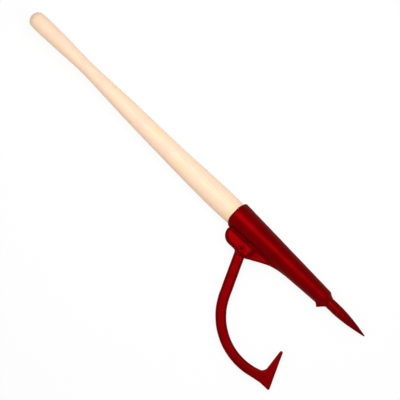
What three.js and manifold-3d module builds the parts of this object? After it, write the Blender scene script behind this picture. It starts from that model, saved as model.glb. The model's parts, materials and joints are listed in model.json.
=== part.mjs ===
// A cant hook of the peavey pattern: a turned hardwood handle in an iron socket, a pick at the
// socket's end, and a forged hook that swings on a bolt between the socket's two ears.
// Lengths are millimetres. The tool is drawn with its origin at the middle of the socket's mouth,
// X along the socket towards the pick, the hook on the -Y side and Z along the hook bolt.
// It is then laid down as it lies on a floor: along the socket's side and on the back of the hook.
import * as THREE from "three";
import { mergeVertices } from "three/addons/utils/BufferGeometryUtils.js";
import Module from "manifold-3d";

const manifold = await Module();
manifold.setup();

// Handle
const HANDLE_LENGTH = 914.4;
const HANDLE_DIAMETER = 60.6; // at the mouth of the socket
const HANDLE_END_DIAMETER = 38.4; // inside the socket
const HANDLE_BOW = 9; // offset of the grip end from the socket's axis
const WAIST_DIAMETER = 33.6;
const GRIP_DIAMETER = 42;
const BUTT_DIAMETER = 40.5; // where the rounding of the butt starts
const BUTT_ROUNDING = 18;

// Socket: a cone with a mouth at one end and a nose at the other
const SOCKET_LENGTH = 315;
const MOUTH_DIAMETER = 72.4;
const NOSE_DIAMETER = 43.4;
const NOSE_LENGTH = 16; // from the end of the cone to the collar round the pick
const COLLAR_WALL = 1.2; // iron round the pick at the very end
const MOUTH_ROUNDING = 10;
const HANDLE_DEPTH = 238; // wood inside the socket

// Pivot of the hook, and the ears that hold it
const PIVOT_X = 73.8;
const PIVOT_Y = -51.7;
const EARS_START = 14;
const EARS_END = 100;
const EARS_REACH = 64; // from the socket's axis to the outer edge of the ears
const EARS_WIDTH = 44; // over both ears, along the bolt
const EARS_ROOT = 28; // where the rounded ears turn in towards the cone
const EARS_EDGE = 8.5; // rounding of the ears' edges
const EARS_CORNER = 22;
const NECK_WIDTH = 30; // iron between the ears and the cone
const SLOT_END = 111; // where the web closes the slot between the ears

// Web: the fin behind the ears that runs out on the cone
const WEB_END = 186;
const WEB_WIDTH = 31; // at the ears
const WEB_END_WIDTH = 12;
const WEB_EDGE = 4;

// Toe lip under the nose, placed from the socket's end
const LIP_BACK_INSET = 27;
const LIP_TIP_INSET = 17.5;
const LIP_FRONT_INSET = 6;
const LIP_REACH = 29.2;
const LIP_WIDTH = 24;
const LIP_ROUNDING = 1.6;
const LIP_ROOT_ROUNDING = 4.8; // inside the collar

// Pick
const PICK_LENGTH = 194.8; // from its shoulder on the wood to its point
const PICK_DIAMETER = 26.8;
const PICK_POINT_LENGTH = 88;
const POINT_DIAMETER = 2;
const TANG_LENGTH = 110;
const TANG_WIDTH = 14;
const TANG_END_WIDTH = 8;

// Hook, measured along its shank and across it, from the pivot
const HOOK_TURN = -67; // degrees from the socket's axis to the shank, as it lies
const HOOK_THICKNESS = 19;
const HOOK_EDGE = 5.5; // rounding of the shank's forged edges
const BILL_EDGE = 2.2;
const SHANK_WIDTH = 25.7;
const EYE_DIAMETER = 33;
const EYE_THICKNESS = 20;
const BELLY_REACH = 282; // to the outside of the bend
const BELLY_RADIUS = 170;
const BEND_WIDTH = 25; // of the bar where the bend meets the bill
const THROAT_RADIUS = 140;
const BILL_OFFSET = 193; // from the back of the shank to the face of the bill
const BILL_LENGTH = 92; // from the heel to the point
const HEEL_FLARE = 11; // how far the heel stands out past the bend
const HEEL_CORNER = 8;
const BILL_ROOT = 25;
const BILL_POINT = 7.4;
const POINT_THICKNESS = 11;
const THROAT_CORNER = 10; // side of the bill that the throat's corner takes
const THROAT_RUN = 15; // arc of the throat that the same corner takes

// Hook bolt with its nut and lock washer
const BOLT_DIAMETER = 12.7;
const BOLT_HEAD_DIAMETER = 17;
const BOLT_HEAD_HEIGHT = 5;
const HEAD_SUNK = 1.6; // below the face of the near ear
const NUT_ACROSS_FLATS = 19;
const NUT_HEIGHT = 8;
const NUT_CHAMFER = 0.8;
const NUT_POCKET_DEPTH = 6;
const NUT_POCKET_DIAMETER = 28;
const WASHER_DIAMETER = 21.5;
const WASHER_HEIGHT = 2.8;
const WASHER_SPLIT = 2.4;
const BOLT_PROJECTION = 1.2; // past the nut

// Pin through the socket's wall into the wood
const PIN_DIAMETER = 6;
const PIN_LENGTH = 34;
const PIN_X = 44;
const PIN_SUNK = 0.8;

// Fits
const CLEARANCE = 0.3;
const HOOK_SIDE_CLEARANCE = 0.35; // between the hook's eye and each ear
const WASHER_CLEARANCE = 0.3; // face to face, at the nut and the washer
const EYE_CLEARANCE = 1.4; // between the hook's eye and the floor of the slot
const OVERRUN = 2; // how far a cut runs past what it cuts

// Fineness of round forms
const SIDES = 40;
const SMALL_SIDES = 24;
const EDGE_STEPS = 4;
const CURVE_STEPS = 12;

// Places along the handle, as shares of its bare length from the grip end, each with a share of
// the difference between two diameters: grip over waist, then mouth over waist.
const gripShares = [[0.066, 1], [0.16, 0.6]];
const bodyShares = [
  [0.277, 0], [0.43, 0.31], [0.516, 0.46], [0.657, 0.625], [0.8, 0.84], [0.91, 0.985], [1, 1],
];
const BOW_START_SHARE = 0.15;
const BOW_END_SHARE = 0.9;

// The nose's shoulder, middle and fillet: shares of its length, and of the step from the collar
// up to the end of the cone.
const noseShares = [[0.3, 1], [0.47, 0.5], [0.66, 0]];
// Where the pick's point swells most, as shares of its length back from the tip and of its radius.
const POINT_SWELL_SHARE = 0.6;
const POINT_RADIUS_SHARE = 0.91;
// Side of a corner that its rounding takes, as a share of the edge rounding that has to go round it.
const CORNER_SHARE = 1.45;

const PAINT = { color: 0x8a0308, roughness: 0.32, metalness: 0.1 };
const HARDWOOD = { color: 0xf2d9b4, roughness: 0.6, metalness: 0 };
const DARK_STEEL = { color: 0x4a4644, roughness: 0.5, metalness: 0.8 };

// A closed geometry as a solid that can be joined and cut.
function solidOf(geometry) {
  const bare = geometry.clone();
  bare.deleteAttribute("normal");
  bare.deleteAttribute("uv");
  const merged = mergeVertices(bare);
  const index = merged.index.array;
  const triangles = [];
  for (let i = 0; i < index.length; i += 3) {
    const [a, b, c] = [index[i], index[i + 1], index[i + 2]];
    if (a !== b && b !== c && c !== a) triangles.push(a, b, c);
  }
  const mesh = new manifold.Mesh({
    numProp: 3,
    vertProperties: new Float32Array(merged.attributes.position.array),
    triVerts: new Uint32Array(triangles),
  });
  return new manifold.Manifold(mesh);
}

// The geometry of a solid, with a flat normal on each face.
function geometryOf(solid) {
  const mesh = solid.getMesh();
  const indexed = new THREE.BufferGeometry();
  indexed.setAttribute("position", new THREE.BufferAttribute(mesh.vertProperties, 3));
  indexed.setIndex(new THREE.BufferAttribute(mesh.triVerts, 1));
  const geometry = indexed.toNonIndexed();
  geometry.computeVertexNormals();
  return geometry;
}

// A turned solid on the X axis, from pairs of place along X and radius, on the axis at both ends.
function turned(pairs, sides = SIDES) {
  const profile = pairs.map(([x, radius]) => new THREE.Vector2(radius, x));
  return new THREE.LatheGeometry(profile, sides).rotateZ(-Math.PI / 2);
}

// A round bar along Z between two heights.
function barAlongZ(diameter, low, high, sides = SMALL_SIDES) {
  const bar = new THREE.CylinderGeometry(diameter / 2, diameter / 2, high - low, sides);
  return bar.rotateX(Math.PI / 2).translate(0, 0, (low + high) / 2);
}

// A plate with an outline in XY, centred on Z = 0, its edges rounded.
function plate(outline, thickness, edge, steps = EDGE_STEPS) {
  const geometry = new THREE.ExtrudeGeometry(outline, {
    depth: thickness - 2 * edge,
    bevelThickness: edge,
    bevelSize: edge,
    bevelOffset: -edge,
    bevelSegments: steps,
    bevelEnabled: edge > 0,
    curveSegments: CURVE_STEPS,
  });
  return geometry.translate(0, 0, edge - thickness / 2);
}

// An outline through corners given as x, y and the length of each side that its rounding takes.
function roundedOutline(corners) {
  const outline = new THREE.Shape();
  corners.forEach(([x, y, rounding], i) => {
    const corner = new THREE.Vector2(x, y);
    const before = new THREE.Vector2(...corners.at(i - 1)).sub(corner).setLength(rounding).add(corner);
    const after = new THREE.Vector2(...corners[(i + 1) % corners.length]);
    after.sub(corner).setLength(rounding).add(corner);
    if (i === 0) outline.moveTo(before.x, before.y);
    else outline.lineTo(before.x, before.y);
    outline.quadraticCurveTo(x, y, after.x, after.y);
  });
  outline.closePath();
  return outline;
}

// Radius of the cone's outside at a place along the socket.
const coneEnd = SOCKET_LENGTH - NOSE_LENGTH;
const coneSlope = (MOUTH_DIAMETER - NOSE_DIAMETER) / 2 / coneEnd;
const coneRadius = (x) => MOUTH_DIAMETER / 2 - coneSlope * x;

const bareLength = HANDLE_LENGTH - HANDLE_DEPTH;
const slotHalf = EYE_THICKNESS / 2 + HOOK_SIDE_CLEARANCE;
const earFace = EARS_WIDTH / 2;
const shankHalf = SHANK_WIDTH / 2;

// Offset of the handle's middle line from the socket's axis.
function bowAt(x) {
  const share = THREE.MathUtils.smoothstep(-x / bareLength, BOW_START_SHARE, BOW_END_SHARE);
  return HANDLE_BOW * share;
}

// The four-sided tang of the pick, or the hole for it, in the end of the wood.
function tang(clearance) {
  const acrossToCorner = Math.SQRT1_2;
  const wide = (TANG_WIDTH + 2 * clearance) * acrossToCorner;
  const narrow = (TANG_END_WIDTH + 2 * clearance) * acrossToCorner;
  const length = TANG_LENGTH + clearance;
  const taper = new THREE.CylinderGeometry(wide, narrow, length, 4);
  taper.rotateY(Math.PI / 4).rotateZ(-Math.PI / 2);
  return taper.translate(HANDLE_DEPTH + CLEARANCE - length / 2, 0, 0);
}

// The pin's place in the socket's wall: a round bar along Y, from inside the wood outwards.
function pinBar(diameter, inner, outer) {
  const bar = new THREE.CylinderGeometry(diameter / 2, diameter / 2, outer - inner, SMALL_SIDES);
  return bar.translate(PIN_X, (inner + outer) / 2, 0);
}
const pinOuter = coneRadius(PIN_X) - PIN_SUNK;
const pinInner = pinOuter - PIN_LENGTH;

function handleGeometry() {
  const spread = (shares, diameter) => shares.map(([along, share]) =>
    new THREE.Vector2(along * bareLength, (WAIST_DIAMETER + share * (diameter - WAIST_DIAMETER)) / 2));
  const side = new THREE.SplineCurve([
    new THREE.Vector2(BUTT_ROUNDING, BUTT_DIAMETER / 2),
    ...spread(gripShares, GRIP_DIAMETER),
    ...spread(bodyShares, HANDLE_DIAMETER),
  ]).getPoints(2 * CURVE_STEPS);
  const butt = new THREE.EllipseCurve(
    BUTT_ROUNDING, 0, BUTT_ROUNDING, side[0].y, Math.PI, Math.PI / 2, true,
  ).getPoints(CURVE_STEPS / 2);
  const pairs = [...butt, ...side.slice(1)].map((p) => [p.x - bareLength, Math.max(p.y, 0)]);
  pairs.push([HANDLE_DEPTH, HANDLE_END_DIAMETER / 2], [HANDLE_DEPTH, 0]);
  let wood = solidOf(turned(pairs));
  wood = wood.subtract(solidOf(tang(CLEARANCE)));
  wood = wood.subtract(solidOf(pinBar(PIN_DIAMETER + 2 * CLEARANCE, pinInner - CLEARANCE, MOUTH_DIAMETER)));
  const geometry = geometryOf(wood);
  const place = geometry.attributes.position;
  for (let i = 0; i < place.count; i += 1) place.setY(i, place.getY(i) + bowAt(place.getX(i)));
  geometry.computeVertexNormals();
  return geometry;
}

// Outside of the socket's cone, with its rounded mouth and the nose that closes on the pick.
function coneSolid() {
  const rim = HANDLE_DIAMETER / 2 + CLEARANCE;
  const mouth = new THREE.EllipseCurve(
    MOUTH_ROUNDING, rim, MOUTH_ROUNDING, coneRadius(MOUTH_ROUNDING) - rim, Math.PI, Math.PI / 2, true,
  ).getPoints(CURVE_STEPS / 2);
  const collar = PICK_DIAMETER / 2 + CLEARANCE + COLLAR_WALL;
  const step = NOSE_DIAMETER / 2 - collar;
  const nose = new THREE.Path();
  const [shoulder, middle, fillet] = noseShares.map(([along, height]) =>
    [coneEnd + along * NOSE_LENGTH, collar + height * step]);
  nose.moveTo(coneEnd, NOSE_DIAMETER / 2);
  nose.quadraticCurveTo(...shoulder, ...middle);
  nose.quadraticCurveTo(...fillet, SOCKET_LENGTH, collar);
  const pairs = [...mouth, ...nose.getPoints(CURVE_STEPS / 2)].map((p) => [p.x, p.y]);
  return solidOf(turned([[0, 0], ...pairs, [SOCKET_LENGTH, 0]]));
}

// What the socket is hollow for: the tapered wood, and the pick through the nose.
function boreSolid() {
  const taper = (HANDLE_DIAMETER - HANDLE_END_DIAMETER) / 2 / HANDLE_DEPTH;
  const mouth = HANDLE_DIAMETER / 2 + CLEARANCE;
  const hole = PICK_DIAMETER / 2 + CLEARANCE;
  const floor = HANDLE_DEPTH + CLEARANCE;
  return solidOf(turned([
    [-OVERRUN, 0],
    [-OVERRUN, mouth + taper * OVERRUN],
    [floor, mouth - taper * floor],
    [floor, hole],
    [SOCKET_LENGTH + OVERRUN, hole],
    [SOCKET_LENGTH + OVERRUN, 0],
  ]));
}

// Both ears and the web in one, before the slot for the hook is cut.
function earsSolid() {
  const corner = CORNER_SHARE * EARS_EDGE;
  const ears = plate(roundedOutline([
    [EARS_START, -EARS_ROOT, corner],
    [EARS_START, -EARS_REACH, EARS_CORNER],
    [EARS_END, -EARS_REACH, corner],
    [EARS_END, -EARS_ROOT, corner],
  ]), EARS_WIDTH, EARS_EDGE);
  const neck = plate(roundedOutline([
    [EARS_START + EARS_EDGE / 2, -coneRadius(0) / 2, WEB_EDGE],
    [EARS_START + EARS_EDGE / 2, -(EARS_REACH + EARS_ROOT) / 2, WEB_EDGE],
    [EARS_END, -(EARS_REACH + EARS_ROOT) / 2, WEB_EDGE],
    [EARS_END, -coneRadius(0) / 2, WEB_EDGE],
  ]), NECK_WIDTH, 0);
  const web = new THREE.Shape();
  const webStart = EARS_END - 2 * EARS_EDGE;
  web.moveTo(webStart, -coneRadius(WEB_END) / 2);
  web.lineTo(webStart, -EARS_REACH);
  web.lineTo(EARS_END - WEB_EDGE, -EARS_REACH + WEB_EDGE / 4);
  web.quadraticCurveTo(
    (EARS_END + WEB_END) / 2 - WEB_EDGE / 2, -coneRadius(EARS_END) - WEB_EDGE,
    WEB_END, -coneRadius(WEB_END) + WEB_EDGE / 4,
  );
  web.lineTo(WEB_END, -coneRadius(WEB_END) / 2);
  web.closePath();
  const fin = plate(web, WEB_WIDTH, WEB_EDGE);
  const place = fin.attributes.position;
  for (let i = 0; i < place.count; i += 1) {
    const share = THREE.MathUtils.mapLinear(place.getX(i), EARS_END, WEB_END, 1, WEB_END_WIDTH / WEB_WIDTH);
    place.setZ(i, place.getZ(i) * Math.min(share, 1));
  }
  return solidOf(ears).add(solidOf(neck)).add(solidOf(fin));
}

// The slot that lets the hook swing: open towards the mouth and the log, closed by the web.
function slotSolid() {
  const eyeRoom = EYE_DIAMETER / 2 + EYE_CLEARANCE;
  const slot = new THREE.Shape();
  slot.moveTo(EARS_START - OVERRUN, PIVOT_Y + eyeRoom);
  slot.lineTo(EARS_START - OVERRUN, -EARS_REACH - OVERRUN);
  slot.lineTo(SLOT_END, -EARS_REACH - OVERRUN);
  slot.lineTo(SLOT_END, PIVOT_Y);
  slot.lineTo(PIVOT_X + eyeRoom, PIVOT_Y + eyeRoom);
  slot.closePath();
  return solidOf(plate(slot, 2 * slotHalf, 0));
}

function socketGeometry() {
  const lipBack = SOCKET_LENGTH - LIP_BACK_INSET;
  const lipRoot = -PICK_DIAMETER / 2 - COLLAR_WALL;
  const lip = plate(roundedOutline([
    [lipBack, -coneRadius(lipBack) + LIP_ROUNDING, LIP_ROUNDING],
    [SOCKET_LENGTH - LIP_TIP_INSET, -LIP_REACH, LIP_ROUNDING],
    [SOCKET_LENGTH - LIP_FRONT_INSET, lipRoot, LIP_ROOT_ROUNDING],
    [lipBack, lipRoot, LIP_ROUNDING],
  ]), LIP_WIDTH, LIP_ROUNDING / 2, 2);
  let iron = earsSolid().subtract(slotSolid());
  iron = iron.add(coneSolid()).add(solidOf(lip));
  iron = iron.subtract(boreSolid());
  const headSeat = earFace - HEAD_SUNK - BOLT_HEAD_HEIGHT;
  const holes = [
    barAlongZ(BOLT_DIAMETER + 2 * CLEARANCE, -earFace - OVERRUN, earFace + OVERRUN),
    barAlongZ(BOLT_HEAD_DIAMETER + 2 * CLEARANCE, headSeat, earFace + OVERRUN),
    barAlongZ(NUT_POCKET_DIAMETER, -earFace - OVERRUN, -earFace + NUT_POCKET_DEPTH),
  ];
  for (const hole of holes) iron = iron.subtract(solidOf(hole.translate(PIVOT_X, PIVOT_Y, 0)));
  iron = iron.subtract(solidOf(pinBar(PIN_DIAMETER + 2 * CLEARANCE, 0, MOUTH_DIAMETER)));
  return geometryOf(iron);
}

function pickGeometry() {
  const start = HANDLE_DEPTH + CLEARANCE;
  const end = start + PICK_LENGTH;
  const radius = PICK_DIAMETER / 2;
  const point = new THREE.QuadraticBezierCurve(
    new THREE.Vector2(end - PICK_POINT_LENGTH, radius),
    new THREE.Vector2(end - POINT_SWELL_SHARE * PICK_POINT_LENGTH, POINT_RADIUS_SHARE * radius),
    new THREE.Vector2(end - POINT_DIAMETER / 4, POINT_DIAMETER / 2),
  ).getPoints(CURVE_STEPS);
  const pairs = [[start, 0], [start, radius], ...point.map((p) => [p.x, p.y]), [end, 0]];
  return geometryOf(solidOf(turned(pairs, SMALL_SIDES)).add(solidOf(tang(0))));
}

// The hook in its own frame: the pivot at its origin, X along the shank, Y towards the log.
const billFace = BILL_OFFSET - shankHalf;
const throatReach = BELLY_REACH - BEND_WIDTH;
const throatTurn = THROAT_RUN / THROAT_RADIUS;
const throatX = throatReach - THROAT_RADIUS + THROAT_RADIUS * Math.cos(throatTurn);
const throatY = THROAT_RADIUS + shankHalf - THROAT_RADIUS * Math.sin(throatTurn);

// Shank and bend, a bar between two arcs that ends inside the bill's root.
function shankSolid() {
  const end = billFace - BILL_ROOT / 2;
  const bar = new THREE.Shape();
  bar.moveTo(0, -shankHalf);
  bar.lineTo(BELLY_REACH - BELLY_RADIUS, -shankHalf);
  bar.absarc(BELLY_REACH - BELLY_RADIUS, BELLY_RADIUS - shankHalf, BELLY_RADIUS, -Math.PI / 2, 0, false);
  bar.lineTo(BELLY_REACH + HEEL_FLARE / 4, end);
  bar.lineTo(throatReach, end);
  bar.absarc(throatReach - THROAT_RADIUS, THROAT_RADIUS + shankHalf, THROAT_RADIUS, 0, -Math.PI / 2, true);
  bar.lineTo(0, shankHalf);
  bar.closePath();
  return solidOf(plate(bar, HOOK_THICKNESS, HOOK_EDGE));
}

// Bill: a wedge from the heel to the point, thinner towards the point both ways.
function billSolid() {
  const heel = BELLY_REACH + HEEL_FLARE;
  const tip = heel - BILL_LENGTH;
  const half = BILL_POINT / 2;
  const slope = (BILL_ROOT - BILL_POINT) / (throatReach - tip);
  const root = throatReach - THROAT_CORNER;
  const wedge = new THREE.Shape();
  wedge.moveTo(BELLY_REACH, BELLY_RADIUS - shankHalf);
  wedge.lineTo(heel - HEEL_CORNER / 2, billFace - HEEL_CORNER);
  wedge.quadraticCurveTo(heel, billFace, heel - HEEL_CORNER, billFace);
  wedge.lineTo(tip + half, billFace);
  wedge.absarc(tip + half, billFace - half, half, Math.PI / 2, 3 * Math.PI / 2, false);
  wedge.lineTo(root, billFace - BILL_POINT - slope * (root - tip));
  wedge.quadraticCurveTo(throatReach, billFace - BILL_ROOT, throatX, throatY);
  wedge.lineTo((throatReach + BELLY_REACH) / 2, throatY);
  wedge.closePath();
  const body = plate(wedge, HOOK_THICKNESS, BILL_EDGE);
  const place = body.attributes.position;
  for (let i = 0; i < place.count; i += 1) {
    const share = THREE.MathUtils.mapLinear(place.getX(i), throatReach, tip, 1, POINT_THICKNESS / HOOK_THICKNESS);
    place.setZ(i, place.getZ(i) * Math.min(share, 1));
  }
  return solidOf(body);
}

function hookGeometry() {
  const half = EYE_THICKNESS / 2;
  const eye = barAlongZ(EYE_DIAMETER, -half, half, SIDES);
  const hole = barAlongZ(BOLT_DIAMETER + 2 * CLEARANCE, -half - OVERRUN, half + OVERRUN);
  return geometryOf(shankSolid().add(billSolid()).add(solidOf(eye)).subtract(solidOf(hole)));
}

// Heights of the bolt's parts along the bolt: the head is sunk in the near ear, the nut in the far one.
const headBottom = earFace - HEAD_SUNK - BOLT_HEAD_HEIGHT + CLEARANCE;
const washerTop = -earFace + NUT_POCKET_DEPTH - WASHER_CLEARANCE;
const nutTop = washerTop - WASHER_HEIGHT - WASHER_CLEARANCE;
const boltEnd = nutTop - NUT_HEIGHT - BOLT_PROJECTION;

function boltGeometry() {
  const shank = solidOf(barAlongZ(BOLT_DIAMETER, boltEnd, headBottom + BOLT_HEAD_HEIGHT / 2));
  const head = solidOf(barAlongZ(BOLT_HEAD_DIAMETER, headBottom, headBottom + BOLT_HEAD_HEIGHT));
  return geometryOf(shank.add(head));
}

function nutGeometry() {
  const outline = new THREE.Shape();
  const corner = NUT_ACROSS_FLATS / Math.sqrt(3);
  for (let side = 0; side < 6; side += 1) {
    const angle = side * Math.PI / 3;
    if (side === 0) outline.moveTo(corner, 0);
    else outline.lineTo(corner * Math.cos(angle), corner * Math.sin(angle));
  }
  outline.closePath();
  const body = solidOf(plate(outline, NUT_HEIGHT, NUT_CHAMFER, 1));
  const hole = barAlongZ(BOLT_DIAMETER + 2 * CLEARANCE, -NUT_HEIGHT, NUT_HEIGHT);
  return geometryOf(body.subtract(solidOf(hole)));
}

function washerGeometry() {
  const outer = WASHER_DIAMETER / 2;
  const inner = BOLT_DIAMETER / 2 + CLEARANCE;
  const split = WASHER_SPLIT / WASHER_DIAMETER;
  const ring = new THREE.Shape();
  ring.absarc(0, 0, outer, split, 2 * Math.PI - split, false);
  ring.absarc(0, 0, inner, 2 * Math.PI - split, split, true);
  ring.closePath();
  return plate(ring, WASHER_HEIGHT, 0);
}

// A named mesh with its own material.
function piece(name, geometry, finish) {
  const mesh = new THREE.Mesh(geometry, new THREE.MeshStandardMaterial(finish));
  mesh.name = name;
  return mesh;
}

const handle = piece("handle", handleGeometry(), HARDWOOD);
const socket = piece("socket", socketGeometry(), PAINT);
const pick = piece("pick", pickGeometry(), PAINT);
const hook = piece("hook", hookGeometry(), PAINT);
hook.position.set(PIVOT_X, PIVOT_Y, 0);
hook.rotation.z = THREE.MathUtils.degToRad(HOOK_TURN);
const hookBolt = piece("hook_bolt", boltGeometry(), PAINT);
hookBolt.position.set(PIVOT_X, PIVOT_Y, 0);
const hookNut = piece("hook_nut", nutGeometry(), DARK_STEEL);
hookNut.position.set(PIVOT_X, PIVOT_Y, nutTop - NUT_HEIGHT / 2);
const lockWasher = piece("lock_washer", washerGeometry(), DARK_STEEL);
lockWasher.position.set(PIVOT_X, PIVOT_Y, washerTop - WASHER_HEIGHT / 2);
const pinGeometry = pinBar(PIN_DIAMETER, pinInner, pinOuter);
const socketPin = piece("socket_pin", pinGeometry, DARK_STEEL);

const tool = new THREE.Group();
tool.add(handle, socket, pick, hook, hookBolt, hookNut, lockWasher, socketPin);

// The roll about the socket's axis that brings a piece down to the plane the cone lies on:
// each corner at (x, y, z) meets it where its height falls to the cone's own radius at x.
function rollToFloor(mesh) {
  mesh.updateMatrix();
  const corner = new THREE.Vector3();
  const place = mesh.geometry.attributes.position;
  let roll = Math.PI / 2;
  for (let i = 0; i < place.count; i += 1) {
    corner.fromBufferAttribute(place, i).applyMatrix4(mesh.matrix);
    const reach = Math.hypot(corner.y, corner.z);
    const down = coneRadius(corner.x);
    if (corner.y >= 0 || reach <= down) continue;
    roll = Math.min(roll, Math.asin(down / reach) + Math.atan2(corner.z, -corner.y));
  }
  return roll;
}
tool.rotation.x = Math.min(rollToFloor(hook), rollToFloor(hookNut), rollToFloor(hookBolt));

// Laid down along the cone's side, and moved so that the floor is Z = 0 under the middle of the part.
const laid = new THREE.Group();
laid.rotation.y = Math.atan(coneSlope);
laid.add(tool);
const cantHook = new THREE.Group();
cantHook.add(laid);
cantHook.updateMatrixWorld(true);
const box = new THREE.Box3().setFromObject(cantHook, true);
const middle = box.getCenter(new THREE.Vector3());
laid.position.set(-middle.x, -middle.y, -box.min.z);

export default cantHook;
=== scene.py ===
"""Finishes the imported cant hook, a log-handling tool of the peavey pattern, on a pale studio floor.

Each piece is drawn in the tool's own frame, in metres: X along the socket towards the pick, the
hook on the -Y side and Z along the hook bolt, from the middle of the socket's mouth. The hook is
drawn from its pivot: X along its shank and Y towards the log.
"""
import json
import math

import bpy
import numpy as np
from mathutils import Matrix, Vector


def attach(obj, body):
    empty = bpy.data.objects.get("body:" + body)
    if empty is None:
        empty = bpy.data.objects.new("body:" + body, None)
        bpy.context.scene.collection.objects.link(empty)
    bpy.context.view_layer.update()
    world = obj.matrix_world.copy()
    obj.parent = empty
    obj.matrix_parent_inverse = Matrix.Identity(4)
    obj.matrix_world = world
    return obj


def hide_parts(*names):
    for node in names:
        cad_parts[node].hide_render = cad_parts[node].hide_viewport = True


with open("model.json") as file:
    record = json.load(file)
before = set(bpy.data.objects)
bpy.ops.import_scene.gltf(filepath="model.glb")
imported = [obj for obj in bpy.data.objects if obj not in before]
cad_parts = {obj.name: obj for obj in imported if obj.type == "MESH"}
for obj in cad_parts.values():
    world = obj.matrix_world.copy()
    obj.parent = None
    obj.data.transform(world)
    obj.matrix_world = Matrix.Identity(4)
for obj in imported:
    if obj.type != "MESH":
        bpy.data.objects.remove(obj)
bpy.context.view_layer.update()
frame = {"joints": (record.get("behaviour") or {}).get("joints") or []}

bl_info = {
    "name": "Cant Hook",
    "version": (1, 0, 0),
    "blender": (4, 5, 0),
    "location": "3D View > Sidebar > Cant Hook",
    "description": "Makes the finished pieces of a cant hook with a pick",
    "category": "Object",
}

HINGE = frame["joints"][0]
OWN_PLACE = "own_place"
WHITE = (1, 1, 1, 1)

# Places from the butt as shares of the bare length, each with its share of the way from the waist's
# diameter to the grip's, or to the mouth's
GRIP_SHARES = ((0.066, 1), (0.16, 0.6))
BODY_SHARES = (
    (0.277, 0), (0.43, 0.31), (0.516, 0.46), (0.657, 0.625), (0.8, 0.84), (0.91, 0.985), (1, 1),
)
# Where the bow starts and where it is full, as shares of the bare length from the mouth
BOW_SHARES = (0.15, 0.9)

# The butt's dome: the lean of its first ring, and its depth as a share of the rounding
BUTT_LEAN = 0.03
BUTT_SHARE = 0.995
# How far the wood is out of round, and how fast that turns along it, in radians a metre
WOBBLE_SHARE = 0.003
WOBBLE_TURN = 9

# Where the pick's point bulges, as shares of its length and of the radius
BULGE_SHARES = (0.6, 0.91)
# The bevel at the end of the tang, as shares of its length and of its end's width
TANG_SHARES = (0.97, 0.6)

# Roundings of the rims of the casting's hollows, as shares of its fillet
RIM_SHARES = {"slot": 0.4, "head": 0.08, "nut": 0.2, "pin": 0.1, "bore": 0.12}

# Height and spacing of the slow ups and downs of the iron
CAST_WAVES = (0.00012, 0.045)
FORGED_WAVES = (0.00014, 0.05)
PICK_WAVES = (0.00012, 0.03)

# Each light's place, what it faces and its size, in the tool's own frame
LAMPS = {
    "key_light": ((-0.2, 0.225, 1.25), (-0.17, 0, 0), (1.2, 0.62)),
    "fill_light": ((-0.4, -0.9, 2.1), (0, 0, 0), (2.2, 1.2)),
}


def maker(kind, **shared):
    """What makes the properties of one kind, from a name, a description and a default."""
    def make(name, description, default):
        return kind(name=name, description=description, default=default, **shared)

    return make


length = maker(bpy.props.FloatProperty, unit="LENGTH", precision=4)
turn = maker(bpy.props.FloatProperty, subtype="ANGLE")
amount = maker(bpy.props.FloatProperty, min=0)
count = maker(bpy.props.IntProperty, min=3)
colour = maker(bpy.props.FloatVectorProperty, size=4, min=0, max=1, subtype="COLOR")


class PivotSizes(bpy.types.PropertyGroup):
    along: length("Along the socket", "From the socket's mouth to the hook bolt", 0.0738)
    across: length("Across the socket", "From the socket's axis to the hook bolt", 0.0517)
    shank_turn: turn("Turn of the hook", "From the socket's axis to the shank", math.radians(-66.7))
    bolt_diameter: length("Bolt diameter", "Plain part of the hook bolt", 0.0127)
    fit: length("Fit", "Gap round the bolt, the wood and the pick", 0.0003)


class HandleSizes(bpy.types.PropertyGroup):
    bare: length("Bare length", "Wood outside the socket", 0.6764)
    depth: length("Hidden length", "Wood inside the socket", 0.238)
    mouth_diameter: length("Diameter at the mouth", "Wood where it enters the socket", 0.0606)
    end_diameter: length("Hidden end diameter", "Wood at the bottom of the socket", 0.0384)
    waist_diameter: length("Waist diameter", "Thinnest place, past the grip", 0.0336)
    grip_diameter: length("Grip diameter", "Swell of the grip", 0.042)
    butt_diameter: length("Butt diameter", "Where the rounding of the butt starts", 0.0405)
    butt_rounding: length("Butt rounding", "Length of the rounded end", 0.018)
    bow: length("Bow", "Offset of the grip from the socket's axis", 0.009)
    neck: length("Neck", "How much thinner the wood is at the mouth", 0.0008)
    neck_run: length("Neck run", "Length over which it thins", 0.03)
    sides: count("Sides", "Points round the wood", 96)


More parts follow.
